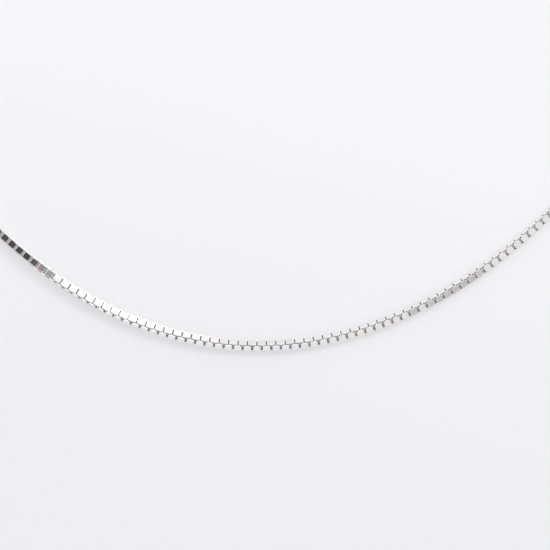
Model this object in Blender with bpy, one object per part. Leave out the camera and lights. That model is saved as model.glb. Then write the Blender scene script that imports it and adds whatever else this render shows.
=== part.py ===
"""A fine box chain necklace, fastened and laid flat as a closed egg-shaped loop.

Metres, +Z up. The origin is the middle of the loop on the surface it lies on.
The links are finer than these solids hold, so the chain is one tube of the
chain's width along the links' real route. A closed spring ring with a soldered
eye joins one end of the chain to the jump ring on its other end.
"""

import math

import bmesh
import bpy
import numpy as np
from mathutils import Matrix, Vector

# Chain
CHAIN_WIDTH = 0.0010
CHAIN_POINTS = 78
CHAIN_SIDES = 8
CHAIN_RISE_RUN = 0.0100

# Places that the chain passes, from the clasp's eye round to the jump ring
CHAIN_ROUTE = [
    (-0.03525, 0.07010),
    (-0.05525, 0.04300),
    (-0.06035, 0.01090),
    (-0.05575, -0.02020),
    (-0.04705, -0.04510),
    (-0.03075, -0.06955),
    (-0.01625, -0.07955),
    (-0.00175, -0.08250),
    (0.01375, -0.07899),
    (0.02925, -0.06816),
    (0.04585, -0.04530),
    (0.05595, -0.01920),
    (0.06035, 0.01070),
    (0.05485, 0.04270),
    (0.03465, 0.06970),
]
ROUTE_STEPS = 40

# Clasp: a closed spring ring with its eye soldered on
CLASP_PLACE_Y = 0.0800
CLASP_HOLE = 0.0040
CLASP_WIRE = 0.0010
EYE_HOLE = 0.0012
EYE_WIRE = 0.00032
THUMB_STUD_WIDTH = 0.0007
THUMB_STUD_HEIGHT = 0.0006
THUMB_STUD_TURN = 62.0

# Jump ring at the chain's other end
JUMP_RING_WIRE = 0.00032
JUMP_RING_PLAY = 0.00105

# Clearances
HOOK_GAP = 0.00012
CHAIN_END_GAP = 0.00015

# Facets of the round wires
CLASP_TURNS = 48
SMALL_RING_TURNS = 28
WIRE_SIDES = 12
STUD_SIDES = 16

METAL = {"colour": (0.86, 0.86, 0.87, 1.0), "roughness": 0.12, "metallic": 1.0}


def clear_scene():
    """Remove the objects that a new scene starts with."""
    for item in list(bpy.data.objects):
        bpy.data.objects.remove(item, do_unlink=True)


def metal(name):
    """A bright white metal for one piece."""
    finish = bpy.data.materials.new(name)
    finish.use_nodes = True
    shader = finish.node_tree.nodes["Principled BSDF"]
    shader.inputs["Base Color"].default_value = METAL["colour"]
    shader.inputs["Roughness"].default_value = METAL["roughness"]
    shader.inputs["Metallic"].default_value = METAL["metallic"]
    return finish


def add_object(name, data, finish):
    """Put a mesh or a curve in the scene with its finish."""
    data.materials.append(finish)
    item = bpy.data.objects.new(name, data)
    bpy.context.scene.collection.objects.link(item)
    return item


def curve_slopes(points, spans, first, last):
    """Slopes of the one cubic curve through points whose bend has no jump."""
    count = len(points)
    matrix = np.zeros((count, count))
    wanted = np.zeros((count, 2))
    matrix[0, 0] = 1.0
    matrix[-1, -1] = 1.0
    wanted[0] = first
    wanted[-1] = last
    for i in range(1, count - 1):
        before = spans[i - 1]
        after = spans[i]
        matrix[i, i - 1] = after
        matrix[i, i] = 2 * (before + after)
        matrix[i, i + 1] = before
        wanted[i] = 3 * (
            after * (points[i] - points[i - 1]) / before
            + before * (points[i + 1] - points[i]) / after
        )
    return np.linalg.solve(matrix, wanted)


def smooth_route(places, first, last):
    """Closely spaced points on a smooth curve through places, with set end directions."""
    points = np.array(places)
    spans = np.linalg.norm(points[1:] - points[:-1], axis=1)
    slopes = curve_slopes(points, spans, first, last)
    route = [points[:1]]
    u = np.linspace(0, 1, ROUTE_STEPS + 1)[1:, None]
    for i, span in enumerate(spans):
        start = (2 * u**3 - 3 * u**2 + 1) * points[i]
        end = (3 * u**2 - 2 * u**3) * points[i + 1]
        leave = (u**3 - 2 * u**2 + u) * span * slopes[i]
        arrive = (u**3 - u**2) * span * slopes[i + 1]
        route.append(start + end + leave + arrive)
    return np.concatenate(route)


def evenly_spaced(route, count):
    """The given number of points at equal distances along a route, with those distances."""
    steps = np.linalg.norm(np.diff(route, axis=0), axis=1)
    along = np.concatenate([[0.0], np.cumsum(steps)])
    wanted = np.linspace(0.0, along[-1], count)
    places = np.column_stack([np.interp(wanted, along, route[:, axis]) for axis in (0, 1)])
    return places, wanted


def ease(share):
    """A gentle rise from 0 to 1."""
    held = np.clip(share, 0.0, 1.0)
    return held * held * (3 - 2 * held)


def wire_ring(name, hole, wire, turns, finish):
    """A closed ring of round wire in the XY plane, spun from the wire's section."""
    radius = (hole + wire) / 2
    stand = Matrix.Translation((radius, 0, 0)) @ Matrix.Rotation(math.radians(90), 4, "X")
    ring = bmesh.new()
    bmesh.ops.create_circle(ring, segments=WIRE_SIDES, radius=wire / 2, matrix=stand)
    bmesh.ops.spin(
        ring,
        geom=ring.verts[:] + ring.edges[:],
        cent=(0, 0, 0),
        axis=(0, 0, 1),
        angle=math.tau,
        steps=turns,
        use_merge=True,
    )
    bmesh.ops.recalc_face_normals(ring, faces=ring.faces[:])
    mesh = bpy.data.meshes.new(name)
    ring.to_mesh(mesh)
    ring.free()
    mesh.shade_smooth()
    return add_object(name, mesh, finish)


def thumb_stud(name, width, height, finish):
    """The clasp's small round stud, standing on the XY plane."""
    stud = bmesh.new()
    bmesh.ops.create_cone(
        stud,
        cap_ends=True,
        segments=STUD_SIDES,
        radius1=width / 2,
        radius2=width / 2,
        depth=height,
        matrix=Matrix.Translation((0, 0, height / 2)),
    )
    mesh = bpy.data.meshes.new(name)
    stud.to_mesh(mesh)
    stud.free()
    mesh.shade_smooth()
    mesh.set_sharp_from_angle(angle=math.radians(40))
    return add_object(name, mesh, finish)


def join_on(carrier, piece):
    """Fuse a soldered piece into the one that carries it."""
    piece.parent = carrier
    piece.hide_render = True
    piece.display_type = "WIRE"
    union = carrier.modifiers.new(piece.name, "BOOLEAN")
    union.operation = "UNION"
    union.solver = "EXACT"
    union.object = piece


def clasp_sizes():
    """Heights and reaches of the clasp and of the jump ring that leans on its wire."""
    clasp_radius = (CLASP_HOLE + CLASP_WIRE) / 2
    jump_radius = (CLASP_WIRE + JUMP_RING_PLAY + JUMP_RING_WIRE) / 2
    over_wire = (CLASP_WIRE + JUMP_RING_WIRE) / 2 + HOOK_GAP
    jump_height = JUMP_RING_WIRE / 2 + over_wire
    tilt = math.asin((jump_height - CLASP_WIRE / 2) / (2 * clasp_radius))
    eye_centre = clasp_radius + (CLASP_WIRE + EYE_HOLE + EYE_WIRE) / 2
    eye_reach = eye_centre + (EYE_HOLE + EYE_WIRE) / 2
    hook = clasp_radius * math.cos(tilt)
    return {
        "clasp_radius": clasp_radius,
        "clasp_height": (CLASP_WIRE / 2 + jump_height) / 2,
        "tilt": tilt,
        "eye_centre": eye_centre,
        "eye_side": -eye_reach * math.cos(tilt),
        "hook": hook,
        "jump_hole": CLASP_WIRE + JUMP_RING_PLAY,
        "jump_lean": math.asin(over_wire / jump_radius),
        "jump_height": jump_height,
        "jump_side": hook + jump_radius,
    }


def build_chain(sizes):
    """The chain as one tube that lies on its flat side, rising to the jump ring at its end."""
    start = (sizes["eye_side"] - EYE_WIRE / 2 - CHAIN_END_GAP, CLASP_PLACE_Y)
    end = (sizes["jump_side"] + JUMP_RING_WIRE / 2 + CHAIN_END_GAP, CLASP_PLACE_Y)
    route = smooth_route([start, *CHAIN_ROUTE, end], (-1.0, 0.0), (-1.0, 0.0))
    places, along = evenly_spaced(route, CHAIN_POINTS)
    resting = CHAIN_WIDTH / 2
    rise = ease(1.0 - (along[-1] - along) / CHAIN_RISE_RUN)
    heights = resting + (sizes["jump_height"] - resting) * rise
    half_side = math.pi / CHAIN_SIDES
    curve = bpy.data.curves.new("chain", "CURVE")
    curve.dimensions = "3D"
    curve.twist_mode = "Z_UP"
    curve.bevel_depth = CHAIN_WIDTH / 2 / math.cos(half_side)
    curve.bevel_resolution = CHAIN_SIDES // 2 - 2
    curve.use_fill_caps = True
    line = curve.splines.new("POLY")
    line.points.add(CHAIN_POINTS - 1)
    for point, place, height in zip(line.points, places, heights):
        point.co = (*place, height, 1.0)
        point.tilt = half_side
    return add_object("chain", curve, metal("chain_metal"))


def build_clasp(sizes):
    """The spring ring, tipped where it lies over the jump ring, with its eye and thumb stud."""
    finish = metal("clasp_metal")
    clasp = wire_ring("clasp", CLASP_HOLE, CLASP_WIRE, CLASP_TURNS, finish)
    clasp.location = (0, CLASP_PLACE_Y, sizes["clasp_height"])
    clasp.rotation_euler = (0, -sizes["tilt"], 0)
    eye = wire_ring("clasp_eye", EYE_HOLE, EYE_WIRE, SMALL_RING_TURNS, finish)
    eye.location = (-sizes["eye_centre"], 0, 0)
    stud = thumb_stud("clasp_stud", THUMB_STUD_WIDTH, CLASP_WIRE / 2 + THUMB_STUD_HEIGHT, finish)
    turn = math.radians(THUMB_STUD_TURN)
    outward = Vector((math.cos(turn), math.sin(turn), 0))
    stud.location = outward * sizes["clasp_radius"]
    stud.rotation_euler = outward.to_track_quat("Z", "Y").to_euler()
    join_on(clasp, eye)
    join_on(clasp, stud)
    return clasp


def build_jump_ring(sizes):
    """The jump ring, leaning on the clasp's wire that passes through it."""
    finish = metal("jump_ring_metal")
    ring = wire_ring("jump_ring", sizes["jump_hole"], JUMP_RING_WIRE, SMALL_RING_TURNS, finish)
    ring.location = (sizes["hook"], CLASP_PLACE_Y, sizes["jump_height"])
    ring.rotation_euler = (sizes["jump_lean"], 0, 0)
    return ring


def main():
    clear_scene()
    sizes = clasp_sizes()
    build_chain(sizes)
    build_clasp(sizes)
    build_jump_ring(sizes)


main()
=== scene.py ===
"""The looks of a fine box chain necklace that lies fastened on a pale floor.

Interlocking square links, a closed spring ring and a jump ring take the places of the
plain solids. All sizes are in metres, +Z is up, and the camera looks straight down on
the front of the loop.
"""

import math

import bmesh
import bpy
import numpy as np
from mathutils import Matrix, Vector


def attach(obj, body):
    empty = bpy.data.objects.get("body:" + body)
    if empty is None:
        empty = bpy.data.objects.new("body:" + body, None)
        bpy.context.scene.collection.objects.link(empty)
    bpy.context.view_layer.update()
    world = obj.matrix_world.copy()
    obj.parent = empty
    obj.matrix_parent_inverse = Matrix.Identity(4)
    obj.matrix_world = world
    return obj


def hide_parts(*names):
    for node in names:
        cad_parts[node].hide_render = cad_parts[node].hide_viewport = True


bl_info = {
    "name": "Box chain necklace",
    "version": (1, 0, 0),
    "blender": (4, 5, 0),
    "location": "View3D > Sidebar > Box Chain",
    "description": "Builds the links, the clasp and the jump ring of a box chain necklace",
    "category": "Object",
}

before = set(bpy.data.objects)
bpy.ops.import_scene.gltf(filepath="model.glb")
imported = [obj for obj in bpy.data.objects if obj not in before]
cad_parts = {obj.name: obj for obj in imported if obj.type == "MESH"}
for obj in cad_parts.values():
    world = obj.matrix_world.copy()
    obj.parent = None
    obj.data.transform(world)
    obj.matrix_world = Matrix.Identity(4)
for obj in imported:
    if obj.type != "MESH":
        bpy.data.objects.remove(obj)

BODY = "root"
MM = 0.001
QUARTER_TURN = 90.0
FULL_TURN = 360.0

# Places that the chain passes, from the clasp's eye round to the jump ring
CHAIN_ROUTE = [
    (-0.03525, 0.07010),
    (-0.05525, 0.04300),
    (-0.06035, 0.01090),
    (-0.05575, -0.02020),
    (-0.04705, -0.04510),
    (-0.03075, -0.06955),
    (-0.01625, -0.07955),
    (-0.00175, -0.08250),
    (0.01375, -0.07899),
    (0.02925, -0.06816),
    (0.04585, -0.04530),
    (0.05595, -0.01920),
    (0.06035, 0.01070),
    (0.05485, 0.04270),
    (0.03465, 0.06970),
]
ROUTE_STEPS = 60
# The way the chain leaves the eye, and the way it reaches the jump ring
ROUTE_START = (-1.0, 0.0)
ROUTE_END = (-1.0, 0.0)

# How far the chain is rolled over, in degrees, at distances along it from the clasp's eye
CHAIN_ROLL = (
    # along, roll
    (0.000, 0.0),
    (0.060, 14.0),
    (0.125, -10.0),
    (0.170, -3.0),
    (0.1882, 2.0),
    (0.1968, 16.0),
    (0.2164, 41.0),
    (0.2253, 47.0),
    (0.2351, 61.0),
    (0.2390, 62.3),
    (0.2427, 66.0),
    (0.2453, 70.0),
    (0.2490, 73.5),
    (0.2530, 76.0),
    (0.290, 98.0),
    (0.350, 78.0),
    (0.405, 96.0),
)

# The run of links is made in pieces, from the clasp's eye round to the jump ring
LINK_PIECES = ("links_left", "links_front", "links_right")

# Facets of the small round forms
BEND_STEPS = 3
EDGE_STEPS = 2
RING_TURNS = 110
RING_SIDES = 28
TONGUE_ROWS = 12
EYE_TURNS = 56
JUMP_RING_TURNS = 112
SMALL_RING_SIDES = 16
SOLDER_ROWS = 13
SOLDER_SIDES = 24
STUD_SIDES = 32
SHARP_ANGLE = math.radians(38)

# Inner radius of a link's bends as a share of the outer one, the share of its narrowing that
# its plates are spared, and how fast the painted shade and the rougher inside fade out through the strip
INNER_BEND = 1 / 3
PLATE_WAIST = 0.30
RECESS_REACH = 5.0
# How far a link nods and swings out of line, as a share of how far it twists
LEAN_SHARE = 0.5

# Polish of the links, in millimetres of strip: fine grain in the gloss, broad ripples in the
# faces, and how far apart in the pattern two links may lie
GRAIN_SCALE = 9.0
GRAIN_DETAIL = 3.0
GRAIN_GLOSS = 0.08
GRAIN_HEIGHT = 0.1
RIPPLE_SCALE = 1.3
RIPPLE_DETAIL = 1.0
RIPPLE_STRENGTH = 0.25
RIPPLE_DEPTH = 0.02 * MM
PATTERN_SHIFT = (37.0, 91.0, 53.0)

# Polish of the two rings, in metres: patches in the colour and fine scratches in the gloss
PATCH_SCALE = 900.0
PATCH_DETAIL = 3.0
SCRATCH_SCALE = 6000.0
SCRATCH_DETAIL = 2.0
SCRATCH_GLOSS = 0.12
SCRATCH_STRENGTH = 0.15
SCRATCH_DEPTH = 0.01 * MM

# The dull floor: half its width, its finish, how its glow grows over the view (the reach as a
# share of the view's width, and the slant from left to right), and how open it is, as a share,
# where it starts to glow and where it glows in full
FLOOR_REACH = 4.0
FLOOR_ROUGHNESS = 0.9
FLOOR_GLOSS = 0.2
GLOW_REACH = 0.45
GLOW_SLANT = 0.2
OPENNESS_SAMPLES = 8
CLOSED_FLOOR = 0.25
OPEN_FLOOR = 0.62

# Nearest and farthest that the camera sees
VIEW_NEAR = 0.01
VIEW_FAR = 10.0

# Arc, in degrees round the spring ring, where the thinner tongue shows between the barrel's ends
TONGUE_START = 10.0
TONGUE_END = 47.0
# The barrel's rounded end: degrees from the tongue, and share of the step up to the barrel
BARREL_LIP = (
    # turn, share
    (0.0, 0.0),
    (0.15, 0.55),
    (0.6, 0.85),
    (1.3, 0.97),
    (2.2, 1.0),
)

# Thumb stud: its place round the ring in degrees, and shares of its radius and of its height
STUD_TURN = 62.0
STUD_PROFILE = (
    # across, up
    (0.00, 0.00),
    (0.82, 0.00),
    (0.82, 0.62),
    (0.86, 0.68),
    (1.00, 0.74),
    (1.00, 0.88),
    (0.93, 0.95),
    (0.76, 0.985),
    (0.45, 1.00),
    (0.00, 1.00),
)

# Solder where the eye meets the barrel: half its width, length and height as shares of the eye's wire
SOLDER_SHARES = (0.62, 1.05, 0.56)

# Soldered seam of the jump ring, in degrees round it, and how much thicker the wire is there
SEAM_TURN = 205.0
SEAM_SPREAD = 3.0
SEAM_SWELL = 0.05

# Light of the room in front, at the back and low down all round, and where one gives way to the
# other, as shares of the way to the back and of the way up
ROOM_FRONT = (0.86, 0.838, 0.825)
ROOM_BACK = (1.35, 1.35, 1.34)
ROOM_EDGE = (0.87, 0.85, 0.84)
FRONT_TO_BACK = (-0.05, 0.35)
TOP_TO_EDGE = (0.60, 0.0)

# Parts of the room that the metal mirrors, as degrees right and back from straight up
ROOM_PARTS = (
    # right, back, radius, softness, colour
    (-64.0, -14.0, 24.0, 8.0, (0.26, 0.25, 0.25)),
    (74.0, -22.0, 18.0, 7.0, (0.34, 0.33, 0.33)),
    (29.3, -43.0, 8.5, 0.9, (0.57, 0.55, 0.535)),
    (2.0, 10.0, 17.3, 1.8, (0.29, 0.29, 0.285)),
    (2.0, 10.0, 13.5, 1.5, (0.36, 0.26, 0.25)),
    (2.0, 10.0, 10.0, 2.0, (0.175, 0.13, 0.135)),
    (2.0, 10.0, 6.5, 2.0, (0.07, 0.062, 0.067)),
)


def length(name, description, default):
    """A size that a user can change."""
    return bpy.props.FloatProperty(
        name=name, description=description, default=default, min=0.0, precision=6, unit="LENGTH"
    )


def coordinate(name, description, default):
    """A place along one axis that a user can change."""
    return bpy.props.FloatProperty(
        name=name, description=description, default=default, precision=6, unit="LENGTH"
    )


def colour(name, description, default):
    """A colour that a user can change."""
    return bpy.props.FloatVectorProperty(
        name=name, description=description, default=default, min=0.0, max=1.0, subtype="COLOR"
    )


def amount(name, description, default):
    """A plain number that a user can change."""
    return bpy.props.FloatProperty(name=name, description=description, default=default, min=0.0)


class BoxChainLinks(bpy.types.PropertyGroup):
    """Sizes of the square links."""

    width: length("Width", "Outer width of a link across its two plates", 1.0 * MM)
    pitch: length("Pitch", "Distance from one link to the next", 0.509 * MM)
    strip_thickness: length("Strip thickness", "Thickness of the strip a link is bent from", 0.145 * MM)
    strip_width: length("Strip width", "Width of the strip a link is bent from", 0.70 * MM)
    play: length("Play", "Room between the walls of two neighbouring links", 0.080 * MM)
    bend: length("Bend", "Outer radius of a link's four bends", 0.105 * MM)
    edge: length("Edge", "Radius of the strip's polished edges", 0.030 * MM)
    waist: length("Waist", "How much narrower the strip is where a longer link is bent", 0.065 * MM)
    short_waist: length("Short waist", "The same where a shorter link is bent", 0.20 * MM)
    shoulder: length("Shoulder", "Length over which the strip narrows before a bend", 0.12 * MM)
    uneven: length("Uneven", "How much longer every other link is than its neighbours", 0.116 * MM)
    wobble: amount("Wobble", "How far single links are turned out of line, in degrees", 0.7)
    seed: bpy.props.IntProperty(name="Seed", description="Order of the random turns", default=11)
    end_rise: length("End rise", "Length over which the chain rises to the jump ring", 10.0 * MM)


class BoxChainClasp(bpy.types.PropertyGroup):
    """Sizes of the spring ring and of the jump ring that it closes on."""

    centre_y: length("Place", "Distance of the clasp from the middle of the loop", 80.0 * MM)
    hole: length("Hole", "Inner diameter of the spring ring", 4.0 * MM)
    wire: length("Barrel", "Outer diameter of the spring ring's tube", 1.0 * MM)
    tongue: length("Tongue", "Diameter of the tongue that closes the spring ring", 0.82 * MM)
    eye_hole: length("Eye hole", "Inner diameter of the soldered eye", 1.2 * MM)
    eye_wire: length("Eye wire", "Wire of the soldered eye", 0.32 * MM)
    stud_width: length("Stud width", "Diameter of the thumb stud", 0.7 * MM)
    stud_height: length("Stud height", "How far the thumb stud stands out", 0.6 * MM)
    jump_wire: length("Jump ring wire", "Wire of the jump ring", 0.32 * MM)
    jump_play: length("Jump ring play", "Room in the jump ring beside the clasp's wire", 1.05 * MM)
    hook_gap: length("Hook gap", "Gap between the two wires where they cross", 0.12 * MM)


class BoxChainFinish(bpy.types.PropertyGroup):
    """Colours and gloss of the polished white metal."""

    metal: colour("Metal", "Colour of the polished metal", (0.925, 0.915, 0.91))
    metal_cool: colour("Cool metal", "Colour of the links that look a little cooler", (0.885, 0.89, 0.90))
    # Painted shade: a darker colour for the insides of the links, where the boxes shade them
    recess_shade: colour("Recess", "Colour inside the links, where polish does not reach", (0.77, 0.76, 0.755))
    gloss: amount("Roughness", "Roughness of the polished faces", 0.10)
    satin: amount("Satin", "How much rougher the edges and the insides of the links are", 0.60)


class BoxChainStage(bpy.types.PropertyGroup):
    """The floor, the light and the camera."""

    floor: colour("Floor", "Colour of the floor", (0.33, 0.333, 0.342))
    glow_front: colour("Front glow", "Light that the floor gives off in front", (0.489, 0.490, 0.499))
    glow_back: colour("Back glow", "Light that the floor gives off at the back", (0.545, 0.546, 0.557))
    floor_shade: colour("Floor shade", "Light that the floor gives off under a thing", (0.05, 0.05, 0.05))
    contact: length("Contact", "How close a thing lies to the floor where it dims the glow", 0.36 * MM)
    view_width: length("View width", "Width of floor that the camera sees", 59.01 * MM)
    view_height: length("View height", "Height of the camera above the floor", 350.0 * MM)
    view_x: coordinate("View X", "Place of the camera along X", -0.355 * MM)
    view_y: coordinate("View Y", "Place of the camera along Y", -74.935 * MM)
    sky: amount("Sky", "Strength of the soft light all round", 1.0)
    key: amount("Key", "Brightness of the large soft light", 12.0)
    key_width: length("Key width", "Diameter of the large soft light", 380.0 * MM)
    key_distance: length("Key distance", "Distance of the large soft light from the view", 1100.0 * MM)
    key_right: amount("Key right", "Degrees that the large soft light leans to the right", 34.0)
    key_back: amount("Key back", "Degrees that the large soft light leans to the back", 36.0)


class Value:
    """A shader socket that can stand in a sum, which adds the Math nodes for it."""

    def __init__(self, recipe, socket):
        self.recipe = recipe
        self.socket = socket

    def math(self, operation, first, second):
        return self.recipe.node("ShaderNodeMath", {"operation": operation}, {0: first, 1: second})

    def __add__(self, other):
        return self.math("ADD", self, other)

    def __radd__(self, other):
        return self.math("ADD", other, self)

    def __sub__(self, other):
        return self.math("SUBTRACT", self, other)

    def __rsub__(self, other):
        return self.math("SUBTRACT", other, self)

    def __mul__(self, other):
        return self.math("MULTIPLY", self, other)

    def __rmul__(self, other):
        return self.math("MULTIPLY", other, self)


class Recipe:
    """The nodes of one material or of the world."""

    def __init__(self, owner):
        owner.use_nodes = True
        self.tree = owner.node_tree

    def node(self, kind, settings=None, inputs=None, output=0):
        """Add a node with its settings, then fill its sockets with values or links."""
        made = self.tree.nodes.new(kind)
        for name, setting in (settings or {}).items():
            setattr(made, name, setting)
        for key, value in (inputs or {}).items():
            self.fill(made.inputs[key], value)
        return Value(self, made.outputs[output])

    def fill(self, socket, value):
        """Link a socket, or set the value that it holds."""
        if isinstance(value, Value):
            self.tree.links.new(value.socket, socket)
        else:
            socket.default_value = value

    def mix(self, share, first, second):
        """Blend two colours."""
        return self.node(
            "ShaderNodeMix", {"data_type": "RGBA"}, {0: share, 6: first, 7: second}, output=2
        )

    def ramp(self, value, low, high):
        """A smooth rise from 0 at low to 1 at high."""
        return self.node(
            "ShaderNodeMapRange",
            {"interpolation_type": "SMOOTHSTEP"},
            {"Value": value, "From Min": low, "From Max": high},
        )

    def noise(self, place, scale, detail):
        """Soft noise around 0.5."""
        return self.node(
            "ShaderNodeTexNoise", None, {"Vector": place, "Scale": scale, "Detail": detail}
        )

    def bump(self, strength, depth, height):
        """A surface that leans with the height's slopes."""
        return self.node(
            "ShaderNodeBump", None, {"Strength": strength, "Distance": depth, "Height": height}
        )

    def axis(self, place, name):
        """One coordinate of a place or a direction."""
        return self.node("ShaderNodeSeparateXYZ", None, {0: place}, name)

    def stored(self, name, output):
        """A value stored on the mesh."""
        return self.node("ShaderNodeAttribute", {"attribute_name": name}, None, output)


def solid_colour(rgb):
    """A colour property as a node takes it."""
    return (*rgb, 1.0)


def new_material(name):
    """An empty node material with its surface shader."""
    material = bpy.data.materials.new(name)
    recipe = Recipe(material)
    return material, recipe, recipe.tree.nodes["Principled BSDF"].inputs


def link_metal(finish):
    """Polished white metal of the links: bright plates, rougher inside the boxes, darkened there by
    painted shade.
    """
    material, recipe, surface = new_material("link_metal")
    place = recipe.stored("link_place", "Vector")
    chance = recipe.stored("link_chance", "Fac")
    recess_shade = recipe.stored("recess_shade", "Fac")
    satin = recipe.stored("satin", "Fac")
    warm_or_cool = recipe.mix(chance, solid_colour(finish.metal), solid_colour(finish.metal_cool))
    # Painted shade: the colour darkens on the insides of the links, where the boxes shade them
    tint = recipe.mix(recess_shade, warm_or_cool, solid_colour(finish.recess_shade))
    recipe.fill(surface["Base Color"], tint)
    grain = recipe.noise(place, GRAIN_SCALE, GRAIN_DETAIL)
    dullness = satin * finish.satin
    recipe.fill(surface["Roughness"], finish.gloss + (grain - 0.5) * GRAIN_GLOSS + dullness)
    ripples = recipe.noise(place, RIPPLE_SCALE, RIPPLE_DETAIL)
    relief = ripples + grain * GRAIN_HEIGHT
    recipe.fill(surface["Normal"], recipe.bump(RIPPLE_STRENGTH, RIPPLE_DEPTH, relief))
    surface["Metallic"].default_value = 1.0
    return material


def ring_metal(name, finish):
    """Polished white metal of a plain ring, with fine wear."""
    material, recipe, surface = new_material(name)
    place = recipe.node("ShaderNodeTexCoord", None, None, "Object")
    patches = recipe.noise(place, PATCH_SCALE, PATCH_DETAIL)
    scratches = recipe.noise(place, SCRATCH_SCALE, SCRATCH_DETAIL)
    tint = recipe.mix(patches, solid_colour(finish.metal), solid_colour(finish.metal_cool))
    recipe.fill(surface["Base Color"], tint)
    recipe.fill(surface["Roughness"], finish.gloss + (scratches - 0.5) * SCRATCH_GLOSS)
    recipe.fill(surface["Normal"], recipe.bump(SCRATCH_STRENGTH, SCRATCH_DEPTH, scratches))
    surface["Metallic"].default_value = 1.0
    return material


def floor_material(stage):
    """Plain pale floor that glows a little, but not where something lies on it."""
    material, recipe, surface = new_material("pale_floor")
    place = recipe.node("ShaderNodeTexCoord", None, None, "Object")
    slant = recipe.axis(place, "Y") + recipe.axis(place, "X") * GLOW_SLANT
    reach = stage.view_width * GLOW_REACH
    share = recipe.ramp(slant, stage.view_y - reach, stage.view_y + reach)
    glow = recipe.mix(share, solid_colour(stage.glow_front), solid_colour(stage.glow_back))
    openness = recipe.node(
        "ShaderNodeAmbientOcclusion",
        {"samples": OPENNESS_SAMPLES},
        {"Distance": stage.contact},
        "AO",
    )
    open_floor = recipe.ramp(openness, CLOSED_FLOOR, OPEN_FLOOR)
    light = recipe.mix(open_floor, solid_colour(stage.floor_shade), glow)
    recipe.fill(surface["Emission Color"], light)
    surface["Emission Strength"].default_value = 1.0
    surface["Base Color"].default_value = solid_colour(stage.floor)
    surface["Roughness"].default_value = FLOOR_ROUGHNESS
    surface["Specular IOR Level"].default_value = FLOOR_GLOSS
    return material


def curve_slopes(points, spans, first, last):
    """Slopes of the one cubic curve through points whose bend has no jump."""
    count = len(points)
    matrix = np.zeros((count, count))
    wanted = np.zeros((count, 2))
    matrix[0, 0] = 1.0
    matrix[-1, -1] = 1.0
    wanted[0] = first
    wanted[-1] = last
    for i in range(1, count - 1):
        before = spans[i - 1]
        after = spans[i]
        matrix[i, i - 1] = after
        matrix[i, i] = 2 * (before + after)
        matrix[i, i + 1] = before
        wanted[i] = 3 * (
            after * (points[i] - points[i - 1]) / before
            + before * (points[i + 1] - points[i]) / after
        )
    return np.linalg.solve(matrix, wanted)


def smooth_route(places, first, last):
    """Closely spaced points on a smooth curve through places, with set end directions."""
    points = np.array(places)
    spans = np.linalg.norm(points[1:] - points[:-1], axis=1)
    slopes = curve_slopes(points, spans, first, last)
    route = [points[:1]]
    u = np.linspace(0, 1, ROUTE_STEPS + 1)[1:, None]
    for i, span in enumerate(spans):
        start = (2 * u**3 - 3 * u**2 + 1) * points[i]
        end = (3 * u**2 - 2 * u**3) * points[i + 1]
        leave = (u**3 - 2 * u**2 + u) * span * slopes[i]
        arrive = (u**3 - u**2) * span * slopes[i + 1]
        route.append(start + end + leave + arrive)
    return np.concatenate(route)


def ease(share):
    """A gentle rise from 0 to 1."""
    held = np.clip(share, 0.0, 1.0)
    return held * held * (3 - 2 * held)


def steady_roll(along, keys):
    """Roll in radians at distances along the chain, passing smoothly through the keys."""
    at, roll = np.array(keys).T
    slope = np.gradient(roll, at)
    i = np.clip(np.searchsorted(at, along) - 1, 0, len(at) - 2)
    span = at[i + 1] - at[i]
    u = (along - at[i]) / span
    value = (
        (2 * u**3 - 3 * u**2 + 1) * roll[i]
        + (3 * u**2 - 2 * u**3) * roll[i + 1]
        + (u**3 - 2 * u**2 + u) * span * slope[i]
        + (u**3 - u**2) * span * slope[i + 1]
    )
    return np.radians(value)


def clasp_layout(clasp):
    """Heights and reaches of the clasp and of the jump ring that leans on its wire."""
    radius = (clasp.hole + clasp.wire) / 2
    jump_radius = (clasp.wire + clasp.jump_play + clasp.jump_wire) / 2
    over_wire = (clasp.wire + clasp.jump_wire) / 2 + clasp.hook_gap
    jump_height = clasp.jump_wire / 2 + over_wire
    tilt = math.asin((jump_height - clasp.wire / 2) / (2 * radius))
    eye_radius = (clasp.eye_hole + clasp.eye_wire) / 2
    eye_centre = radius + clasp.wire / 2 + eye_radius
    hook = radius * math.cos(tilt)
    return {
        "radius": radius,
        "height": (clasp.wire / 2 + jump_height) / 2,
        "tilt": tilt,
        "eye_radius": eye_radius,
        "eye_centre": eye_centre,
        "eye_side": -(eye_centre + eye_radius) * math.cos(tilt),
        "hook": hook,
        "jump_radius": jump_radius,
        "jump_lean": math.asin(over_wire / jump_radius),
        "jump_height": jump_height,
        "jump_side": hook + jump_radius,
    }


def link_length(links):
    """Outer length of a link, so that neighbours hook into each other with play between walls."""
    return links.pitch + 2 * links.strip_thickness + links.play


def strip_section(links):
    """Points round the strip's section: depth from inner to outer face, place across, direction."""
    half_thickness = links.strip_thickness / 2
    half_width = links.strip_width / 2
    edge = links.edge
    points = []
    for corner in range(4):
        for step in range(EDGE_STEPS + 1):
            angle = math.radians(QUARTER_TURN * (corner + step / EDGE_STEPS))
            middle = math.radians(QUARTER_TURN * (corner + 0.5))
            out = math.copysign(half_thickness - edge, math.cos(middle)) + edge * math.cos(angle)
            across = math.copysign(half_width - edge, math.sin(middle)) + edge * math.sin(angle)
            points.append((0.5 + out / links.strip_thickness, across, math.cos(angle), math.sin(angle)))
    return np.array(points)


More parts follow.
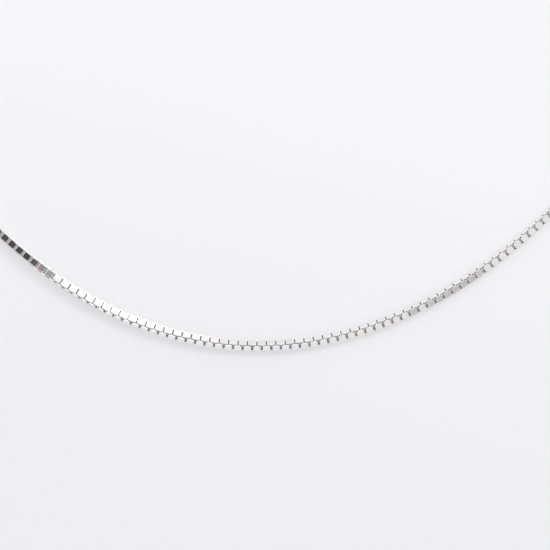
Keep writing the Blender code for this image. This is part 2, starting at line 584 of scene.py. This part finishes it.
def strip_outline(links, longer):
    """Points round a link, seen from the side: outer place, inner place, direction, narrowing."""
    stretch = links.uneven / 2 if longer else -links.uneven / 2
    waist = links.waist if longer else links.short_waist
    reach = np.array((link_length(links) + stretch, links.width)) / 2
    inner_bend = links.bend * INNER_BEND
    points = []
    for corner in range(4):
        middle = math.radians(QUARTER_TURN * (corner + 0.5))
        side = np.sign((math.cos(middle), math.sin(middle)))
        for step in range(BEND_STEPS + 1):
            angle = math.radians(QUARTER_TURN * (corner + step / BEND_STEPS))
            direction = np.array((math.cos(angle), math.sin(angle)))
            outer = side * (reach - links.bend) + links.bend * direction
            inner = side * (reach - links.strip_thickness - inner_bend) + inner_bend * direction
            narrowing = waist * (1 - PLATE_WAIST * abs(direction[1]))
            points.append((*outer, *inner, *direction, narrowing))
        if corner % 2 == 0:
            # Every second corner leads on to a plate, at its full width between two shoulders
            plate = reach[0] - links.bend - links.shoulder
            for x in (side[0] * plate, -side[0] * plate):
                outer_z = side[1] * reach[1]
                inner_z = side[1] * (reach[1] - links.strip_thickness)
                points.append((x, outer_z, x, inner_z, 0.0, side[1], 0.0))
    return np.array(points)


def one_link(links, longer):
    """Places, directions, shares of painted shade and of satin, and faces of one link about its own
    middle.
    """
    section = strip_section(links)
    outline = strip_outline(links, longer)
    places, directions, shares = [], [], []
    for outer_x, outer_z, inner_x, inner_z, out_x, out_z, narrowing in outline:
        for depth, across, out, sideways in section:
            x = inner_x + (outer_x - inner_x) * depth
            z = inner_z + (outer_z - inner_z) * depth
            places.append((x, across * (1 - narrowing / links.strip_width), z))
            directions.append((out * out_x, sideways, out * out_z))
            # Painted shade, full on the inner face and gone a fifth of the way out; it also sets the
            # least satin
            recess_shade = max(0.0, 1.0 - RECESS_REACH * depth)
            shares.append((recess_shade, max(recess_shade, abs(sideways))))
    rounds = len(outline)
    sides = len(section)
    faces = []
    for i in range(rounds):
        for j in range(sides):
            here = i * sides
            there = (i + 1) % rounds * sides
            beside = (j + 1) % sides
            faces.append((here + j, here + beside, there + beside, there + j))
    return np.array(places), np.array(directions), np.array(shares), np.array(faces)


def link_frames(tangents, rolls):
    """Each link's own directions: along the chain, across its strip and out of its plates."""
    up = np.array((0.0, 0.0, 1.0))
    side = np.cross(up, tangents)
    side /= np.linalg.norm(side, axis=1)[:, None]
    upright = np.cross(tangents, side)
    plate = np.cos(rolls)[:, None] * upright + np.sin(rolls)[:, None] * side
    across = np.cross(plate, tangents)
    return np.stack((tangents, across, plate), axis=2)


def small_turns(count, degrees, chance):
    """Slight turns about all three axes, one for each link: most of all a twist along the chain."""
    twist, nod, swing = np.radians(chance.normal(0.0, degrees, (3, count)))
    turns = np.tile(np.eye(3), (count, 1, 1))
    for row, column, turn in ((2, 1, twist), (0, 2, nod * LEAN_SHARE), (1, 0, swing * LEAN_SHARE)):
        turns[:, row, column] = turn
        turns[:, column, row] = -turn
    return turns


def resting_height(links, rolls):
    """Height of the chain's middle over the floor when its lowest edge touches it."""
    half = links.width / 2 - links.edge
    narrow = links.strip_width / 2 - links.edge
    lean = np.abs(np.cos(rolls))
    fall = np.abs(np.sin(rolls))
    return np.maximum(half * lean + narrow * fall, half * fall + narrow * lean) + links.edge


def chain_places(links, clasp):
    """Middles and directions of all the links, from the clasp's eye to the jump ring."""
    layout = clasp_layout(clasp)
    # Place of an end link's middle, from the inside of the wire that it hooks round
    hooked = links.strip_thickness + links.play - link_length(links) / 2
    start = (layout["eye_side"] + clasp.eye_wire / 2 + hooked, clasp.centre_y)
    end = (layout["jump_side"] - clasp.jump_wire / 2 - hooked, clasp.centre_y)
    route = smooth_route([start, *CHAIN_ROUTE, end], ROUTE_START, ROUTE_END)
    along = np.concatenate([[0.0], np.cumsum(np.linalg.norm(np.diff(route, axis=0), axis=1))])
    # An odd number of links, so that both ends have a link of the longer kind
    count = 2 * round(along[-1] / links.pitch / 2) + 1
    at = np.linspace(0.0, along[-1], count)
    end_roll = QUARTER_TURN + math.degrees(layout["jump_lean"])
    rolls = steady_roll(at, (*CHAIN_ROLL, (along[-1], end_roll)))
    resting = resting_height(links, rolls)
    rise = ease(1.0 - (along[-1] - at) / links.end_rise)
    places = np.column_stack(
        [
            np.interp(at, along, route[:, 0]),
            np.interp(at, along, route[:, 1]),
            resting + (layout["jump_height"] - resting) * rise,
        ]
    )
    tangents = np.gradient(places, axis=0)
    tangents /= np.linalg.norm(tangents, axis=1)[:, None]
    return places, tangents, rolls


def add_piece(name, mesh, material, node):
    """Put a finished mesh in the scene in place of a plain solid."""
    mesh.materials.append(material)
    piece = bpy.data.objects.new(name, mesh)
    bpy.context.scene.collection.objects.link(piece)
    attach(piece, BODY)
    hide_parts(node)
    return piece


def links_mesh(name, links, places, frames, chances, longer):
    """One mesh of many links, each a closed ring at its own place."""
    local, directions, shares, faces = one_link(links, True)
    short = one_link(links, False)[0]
    count = len(places)
    sized = np.where(longer[:, None, None], local, short)
    vertices = places[:, None, :] + np.einsum("kij,kvj->kvi", frames, sized)
    normals = np.einsum("kij,vj->kvi", frames, directions)
    numbered = faces[None, :, :] + (np.arange(count) * len(local))[:, None, None]
    mesh = bpy.data.meshes.new(name)
    mesh.from_pydata(vertices.reshape(-1, 3), [], numbered.reshape(-1, 4).tolist())
    mesh.shade_smooth()
    spot = mesh.attributes.new("link_place", "FLOAT_VECTOR", "POINT")
    shift = chances[:, None, None] * np.array(PATTERN_SHIFT)
    spot.data.foreach_set("vector", (local[None] / MM + shift).astype(np.float32).ravel())
    stored = {
        "link_chance": np.repeat(chances, len(local)),
        "recess_shade": np.tile(shares[:, 0], count),
        "satin": np.tile(shares[:, 1], count),
    }
    for key, values in stored.items():
        share = mesh.attributes.new(key, "FLOAT", "POINT")
        share.data.foreach_set("value", values.astype(np.float32))
    mesh.normals_split_custom_set_from_vertices(normals.reshape(-1, 3))
    return mesh


def ring_mesh(name, radius, rows, sides):
    """A closed ring in the XY plane, from rows of angle in degrees and wire radius."""
    ring = bmesh.new()
    loops = []
    for angle, wire in rows:
        out = Vector((math.cos(math.radians(angle)), math.sin(math.radians(angle)), 0))
        loop = []
        for side in range(sides):
            turn = math.tau * side / sides
            rise = Vector((0, 0, wire * math.sin(turn)))
            loop.append(ring.verts.new(out * (radius + wire * math.cos(turn)) + rise))
        loops.append(loop)
    for i, loop in enumerate(loops):
        following = loops[(i + 1) % len(loops)]
        for j in range(sides):
            beside = (j + 1) % sides
            ring.faces.new((loop[j], following[j], following[beside], loop[beside]))
    return finished_mesh(name, ring)


def turned_mesh(name, profile, sides):
    """A closed knob about the Z axis, from a profile of radius and height that starts and ends at 0."""
    knob = bmesh.new()
    bottom = knob.verts.new((0, 0, profile[0][1]))
    top = knob.verts.new((0, 0, profile[-1][1]))
    loops = []
    for radius, height in profile[1:-1]:
        loop = []
        for side in range(sides):
            turn = math.tau * side / sides
            loop.append(knob.verts.new((radius * math.cos(turn), radius * math.sin(turn), height)))
        loops.append(loop)
    for j in range(sides):
        beside = (j + 1) % sides
        knob.faces.new((bottom, loops[0][beside], loops[0][j]))
        knob.faces.new((top, loops[-1][j], loops[-1][beside]))
        for lower, upper in zip(loops, loops[1:]):
            knob.faces.new((lower[j], lower[beside], upper[beside], upper[j]))
    return finished_mesh(name, knob)


def finished_mesh(name, shape):
    """A mesh with its faces pointing out, made from a bmesh."""
    bmesh.ops.recalc_face_normals(shape, faces=shape.faces[:])
    mesh = bpy.data.meshes.new(name)
    shape.to_mesh(mesh)
    shape.free()
    mesh.shade_smooth()
    return mesh


def soldered(name, meshes):
    """One closed mesh from closed meshes that overlap."""
    collection = bpy.context.scene.collection
    pieces = [bpy.data.objects.new(name, mesh) for mesh in meshes]
    for piece in pieces:
        collection.objects.link(piece)
    for piece in pieces[1:]:
        union = pieces[0].modifiers.new("union", "BOOLEAN")
        union.operation = "UNION"
        union.solver = "EXACT"
        union.object = piece
    whole = bpy.data.meshes.new_from_object(
        pieces[0].evaluated_get(bpy.context.evaluated_depsgraph_get())
    )
    for piece in pieces:
        bpy.data.objects.remove(piece)
    for mesh in meshes:
        bpy.data.meshes.remove(mesh)
    whole.name = name
    whole.shade_smooth()
    whole.set_sharp_from_angle(angle=SHARP_ANGLE)
    return whole


def even_rows(first, last, count, wire):
    """Rows of one wire radius, spread evenly over an arc."""
    return [(angle, wire) for angle in np.linspace(first, last, count)]


def barrel_rows(clasp):
    """The spring ring's barrel all round, but for the stretch where its tongue closes it."""
    barrel = clasp.wire / 2
    tongue = clasp.tongue / 2
    lip = [(turn, tongue + (barrel - tongue) * share) for turn, share in BARREL_LIP]
    opening = [(TONGUE_START - turn, wire) for turn, wire in reversed(lip)]
    closing = [(TONGUE_END + turn, wire) for turn, wire in lip]
    reach = BARREL_LIP[-1][0]
    return [
        *opening,
        *even_rows(TONGUE_START, TONGUE_END, TONGUE_ROWS, tongue)[1:-1],
        *closing,
        *even_rows(TONGUE_END + reach, TONGUE_START + FULL_TURN - reach, RING_TURNS, barrel)[1:-1],
    ]


def build_links(context):
    """All the links, in three pieces that hook into each other."""
    links = context.scene.box_chain_links
    places, tangents, rolls = chain_places(links, context.scene.box_chain_clasp)
    count = len(places)
    chance = np.random.default_rng(links.seed)
    odd = np.arange(count) % 2
    turned = rolls + math.pi / 2 * odd
    frames = link_frames(tangents, turned) @ small_turns(count, links.wobble, chance)
    chances = chance.random(count)
    material = link_metal(context.scene.box_chain_finish)
    for i, name in enumerate(LINK_PIECES):
        part = slice(count * i // len(LINK_PIECES), count * (i + 1) // len(LINK_PIECES))
        mesh = links_mesh(name, links, places[part], frames[part], chances[part], odd[part] == 0)
        add_piece(name, mesh, material, "chain")


def eye_mesh(clasp, layout):
    """The small closed ring beside the barrel that holds the chain."""
    rows = even_rows(0, FULL_TURN, EYE_TURNS + 1, clasp.eye_wire / 2)[:-1]
    eye = ring_mesh("eye", layout["eye_radius"], rows, SMALL_RING_SIDES)
    eye.transform(Matrix.Translation((-layout["eye_centre"], 0, 0)))
    return eye


def solder_mesh(clasp, layout):
    """The rounded lump of solder between the barrel and the eye."""
    turns = np.linspace(0, math.pi, SOLDER_ROWS)
    profile = [(math.sin(turn), -math.cos(turn)) for turn in turns]
    solder = turned_mesh("solder", profile, SOLDER_SIDES)
    size = Matrix.Diagonal((*(share * clasp.eye_wire for share in SOLDER_SHARES), 1.0))
    solder.transform(Matrix.Translation((-layout["radius"] - clasp.wire / 2, 0, 0)) @ size)
    return solder


def stud_mesh(clasp, layout):
    """The thumb stud, which stands out from the middle of the barrel's tube."""
    half_width = clasp.stud_width / 2
    top = clasp.wire / 2 + clasp.stud_height
    profile = [(across * half_width, up * top) for across, up in STUD_PROFILE]
    stud = turned_mesh("stud", profile, STUD_SIDES)
    turn = Matrix.Rotation(math.radians(STUD_TURN), 4, "Z")
    outward = Matrix.Translation((layout["radius"], 0, 0)) @ Matrix.Rotation(math.pi / 2, 4, "Y")
    stud.transform(turn @ outward)
    return stud


def build_clasp(context):
    """The closed spring ring with its eye and its thumb stud, soldered into one piece."""
    clasp = context.scene.box_chain_clasp
    layout = clasp_layout(clasp)
    barrel = ring_mesh("barrel", layout["radius"], barrel_rows(clasp), RING_SIDES)
    parts = [barrel, eye_mesh(clasp, layout), solder_mesh(clasp, layout), stud_mesh(clasp, layout)]
    mesh = soldered("spring_ring", parts)
    place = Matrix.Translation((0, clasp.centre_y, layout["height"]))
    mesh.transform(place @ Matrix.Rotation(-layout["tilt"], 4, "Y"))
    material = ring_metal("clasp_polish", context.scene.box_chain_finish)
    add_piece("spring_ring", mesh, material, "clasp")


def build_jump_ring(context):
    """The soldered ring on the chain's other end."""
    clasp = context.scene.box_chain_clasp
    layout = clasp_layout(clasp)
    rows = []
    for angle, wire in even_rows(0, FULL_TURN, JUMP_RING_TURNS + 1, clasp.jump_wire / 2)[:-1]:
        seam = math.exp(-(((angle - SEAM_TURN) / SEAM_SPREAD) ** 2) / 2)
        rows.append((angle, wire * (1 + SEAM_SWELL * seam)))
    mesh = ring_mesh("end_ring", layout["jump_radius"], rows, SMALL_RING_SIDES)
    place = Matrix.Translation((layout["hook"], clasp.centre_y, layout["jump_height"]))
    mesh.transform(place @ Matrix.Rotation(layout["jump_lean"], 4, "X"))
    material = ring_metal("ring_polish", context.scene.box_chain_finish)
    add_piece("end_ring", mesh, material, "jump_ring")


def toward(right, back):
    """The direction that leans so many degrees right and back from straight up."""
    lean = math.radians(math.hypot(right, back))
    turn = math.atan2(back, right)
    return Vector((math.sin(lean) * math.cos(turn), math.sin(lean) * math.sin(turn), math.cos(lean)))


def build_room(context):
    """Soft light from all round, with the few dark and grey parts that polished metal mirrors."""
    stage = context.scene.box_chain_stage
    world = bpy.data.worlds.new("soft_room")
    context.scene.world = world
    recipe = Recipe(world)
    direction = recipe.node("ShaderNodeTexCoord", None, None, "Generated")
    backward = recipe.ramp(recipe.axis(direction, "Y"), *FRONT_TO_BACK)
    downward = recipe.ramp(recipe.axis(direction, "Z"), *TOP_TO_EDGE)
    room = recipe.mix(backward, solid_colour(ROOM_FRONT), solid_colour(ROOM_BACK))
    room = recipe.mix(downward, room, solid_colour(ROOM_EDGE))
    for right, back, radius, softness, shade in ROOM_PARTS:
        nearness = recipe.node(
            "ShaderNodeVectorMath",
            {"operation": "DOT_PRODUCT"},
            {0: direction, 1: toward(right, back)},
            "Value",
        )
        outer = math.cos(math.radians(radius + softness))
        inner = math.cos(math.radians(radius - softness))
        room = recipe.mix(recipe.ramp(nearness, outer, inner), room, solid_colour(shade))
    background = recipe.tree.nodes["Background"].inputs
    recipe.fill(background["Color"], room)
    background["Strength"].default_value = stage.sky


def build_floor(context):
    """The floor under the loop."""
    mesh = bpy.data.meshes.new("floor")
    flat = bmesh.new()
    bmesh.ops.create_grid(flat, x_segments=1, y_segments=1, size=FLOOR_REACH)
    flat.to_mesh(mesh)
    flat.free()
    mesh.materials.append(floor_material(context.scene.box_chain_stage))
    floor = bpy.data.objects.new("floor", mesh)
    context.scene.collection.objects.link(floor)


def build_key_light(context):
    """One large soft light from the back on the right, as bright for any width."""
    stage = context.scene.box_chain_stage
    lamp = bpy.data.lights.new("key_light", "AREA")
    lamp.shape = "DISK"
    lamp.size = stage.key_width
    area = math.pi * (lamp.size / 2) ** 2
    lamp.energy = stage.key * math.pi * area
    key = bpy.data.objects.new("key_light", lamp)
    aim = toward(stage.key_right, stage.key_back)
    target = Vector((stage.view_x, stage.view_y, 0))
    key.location = target + aim * stage.key_distance
    key.rotation_euler = aim.to_track_quat("Z", "Y").to_euler()
    key.visible_camera = False
    context.scene.collection.objects.link(key)


def build_camera(context):
    """The camera, which looks straight down on the front of the loop."""
    stage = context.scene.box_chain_stage
    lens = bpy.data.cameras.new("camera")
    lens.lens = lens.sensor_width * stage.view_height / stage.view_width
    lens.clip_start = VIEW_NEAR
    lens.clip_end = VIEW_FAR
    camera = bpy.data.objects.new("camera", lens)
    camera.location = (stage.view_x, stage.view_y, stage.view_height)
    context.scene.collection.objects.link(camera)
    context.scene.camera = camera


class BoxChainAddLinks(bpy.types.Operator):
    """Build the interlocking square links"""

    bl_idname = "box_chain.add_links"
    bl_label = "Add Links"

    def execute(self, context):
        build_links(context)
        return {"FINISHED"}


class BoxChainAddClasp(bpy.types.Operator):
    """Build the closed spring ring"""

    bl_idname = "box_chain.add_clasp"
    bl_label = "Add Spring Ring"

    def execute(self, context):
        build_clasp(context)
        return {"FINISHED"}


class BoxChainAddJumpRing(bpy.types.Operator):
    """Build the jump ring"""

    bl_idname = "box_chain.add_jump_ring"
    bl_label = "Add Jump Ring"

    def execute(self, context):
        build_jump_ring(context)
        return {"FINISHED"}


class BoxChainAddStage(bpy.types.Operator):
    """Build the floor, the light and the camera"""

    bl_idname = "box_chain.add_stage"
    bl_label = "Add Stage"

    def execute(self, context):
        build_floor(context)
        build_room(context)
        build_key_light(context)
        build_camera(context)
        context.scene.view_settings.view_transform = "Standard"
        return {"FINISHED"}


OPERATORS = (BoxChainAddLinks, BoxChainAddClasp, BoxChainAddJumpRing, BoxChainAddStage)
GROUPS = {
    "box_chain_links": BoxChainLinks,
    "box_chain_clasp": BoxChainClasp,
    "box_chain_finish": BoxChainFinish,
    "box_chain_stage": BoxChainStage,
}


class BoxChainPanel(bpy.types.Panel):
    """Sizes, colours and steps of the necklace"""

    bl_idname = "VIEW3D_PT_box_chain"
    bl_label = "Box Chain"
    bl_space_type = "VIEW_3D"
    bl_region_type = "UI"
    bl_category = "Box Chain"

    def draw(self, context):
        for name, group in GROUPS.items():
            box = self.layout.box()
            for size in group.__annotations__:
                box.prop(getattr(context.scene, name), size)
        for operator in OPERATORS:
            self.layout.operator(operator.bl_idname)


def register():
    for group in GROUPS.values():
        bpy.utils.register_class(group)
    for name, group in GROUPS.items():
        setattr(bpy.types.Scene, name, bpy.props.PointerProperty(type=group))
    for operator in OPERATORS:
        bpy.utils.register_class(operator)
    bpy.utils.register_class(BoxChainPanel)


def unregister():
    bpy.utils.unregister_class(BoxChainPanel)
    for operator in reversed(OPERATORS):
        bpy.utils.unregister_class(operator)
    for name in GROUPS:
        delattr(bpy.types.Scene, name)
    for group in reversed(GROUPS.values()):
        bpy.utils.unregister_class(group)


def main():
    """Build the necklace and its stage."""
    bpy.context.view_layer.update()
    register()
    bpy.ops.box_chain.add_links()
    bpy.ops.box_chain.add_clasp()
    bpy.ops.box_chain.add_jump_ring()
    bpy.ops.box_chain.add_stage()


if __name__ == "__main__":
    main()
